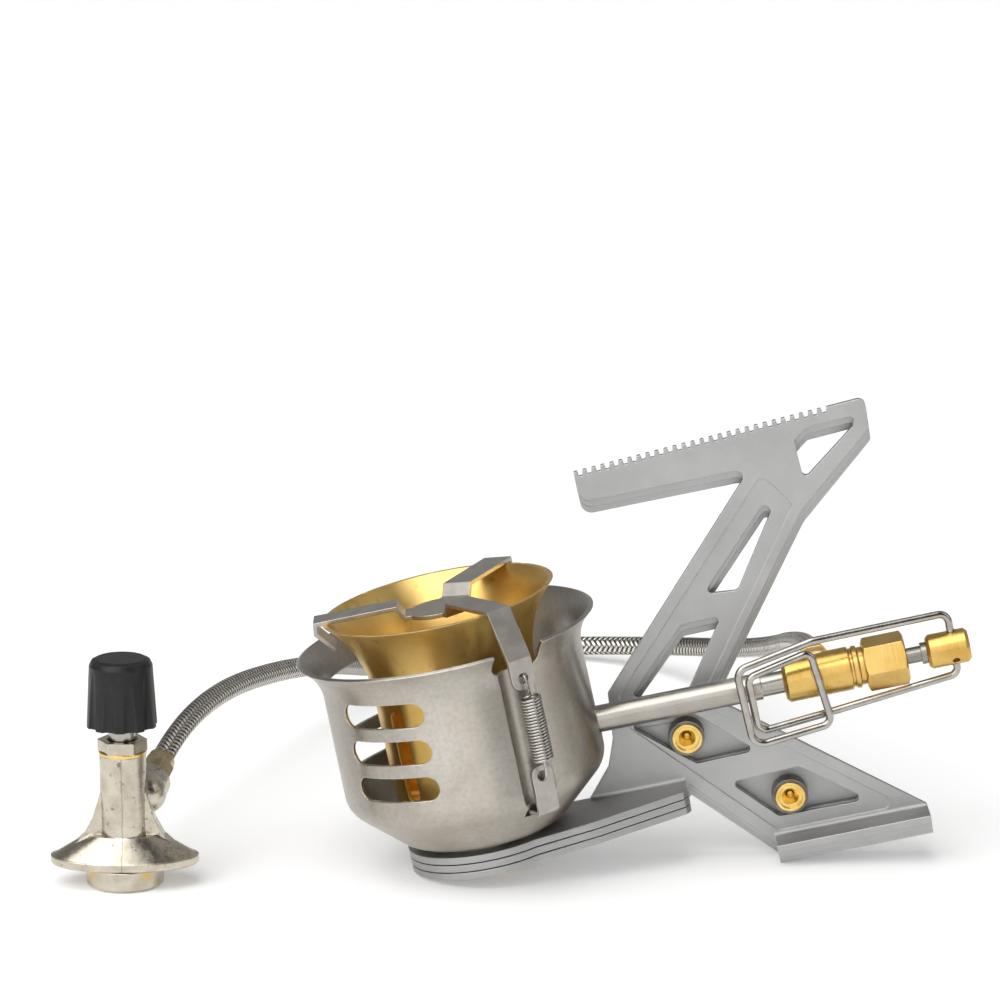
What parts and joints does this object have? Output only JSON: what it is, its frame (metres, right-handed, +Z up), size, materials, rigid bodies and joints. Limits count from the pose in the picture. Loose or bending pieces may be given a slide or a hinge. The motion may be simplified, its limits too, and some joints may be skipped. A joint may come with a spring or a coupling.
{
  "type": "backpacking gas stove",
  "caption": "Folded low gas stove: brass bell in a steel wind cup, nested fold-out legs, feed tube with wire bail, braided hose and canister valve.",
  "frame": {"origin": "centre of the bottom of the bounding box without the hose, on the floor", "axes": "+X along the folded stove from the canister valve to the control knob, +Y from the picture's viewer to the back, +Z up"},
  "size_m": [0.2018, 0.2174, 0.1043],
  "materials": {
    "steel": "brushed stainless steel",
    "leg_metal": "matt blasted grey",
    "brass": "turned brass",
    "nickel": "nickel-plated casting",
    "black_plastic": "moulded black",
    "braid": "steel wire braid over a rubber core",
    "seal": "soft seal"
  },
  "bodies": {
    "stove": {"hub_bolt": "brass", "hub_washer": "steel", "hub_sleeve": "steel", "base_disc": "steel", "leg_fixed": "leg_metal", "wind_cup": "steel", "burner_stem": "brass", "main_jet": "brass", "burner_bell": "brass", "clip": "steel", "spring_anchor": "steel", "clip_spring": "steel", "feed_tube": "steel", "control_block": "brass", "gland_nut": "brass", "spindle_packing": "seal", "control_spindle": "steel", "end_knob": "brass", "hose_nipple": "brass", "hose_ferrule": "steel", "hose": "braid", "valve_ferrule": "steel", "valve_fitting": "brass", "valve_body": "nickel", "valve_collar": "nickel", "valve_seal": "seal", "pin_depressor": "steel", "valve_ring": "brass", "valve_gland": "nickel"},
    "middle_leg": {"leg_middle": "leg_metal"},
    "rear_leg": {"leg_rear": "leg_metal", "jet_socket_a": "steel", "jet_socket_b": "steel", "spare_jet_a": "brass", "spare_jet_b": "brass"},
    "bail": {"bail": "steel"},
    "valve_control": {"valve_knob": "black_plastic", "valve_spindle": "steel"}
  },
  "joints": [
    {"name": "middle_leg_turn", "type": "hinge", "parent": "stove", "child": "middle_leg", "pos_m": [-0.00371, 0, 0.00163], "axis": [-0.2045, 0, 0.9789], "range_deg": [0, 120]},
    {"name": "rear_leg_turn", "type": "hinge", "parent": "middle_leg", "child": "rear_leg", "pos_m": [-0.00371, 0, 0.00163], "axis": [-0.2045, 0, 0.9789], "range_deg": [0, 120]},
    {"name": "bail_swing", "type": "hinge", "parent": "stove", "child": "bail", "pos_m": [0.09686, 0, 0.05032], "axis": [-0.2045, 0, 0.9789], "range_deg": [0, 165]},
    {"name": "valve_knob_turn", "type": "hinge", "parent": "stove", "child": "valve_control", "pos_m": [-0.08471, -0.011, 0.04], "axis": [0, 0, 1], "range_deg": [0, 540]}
  ]
}
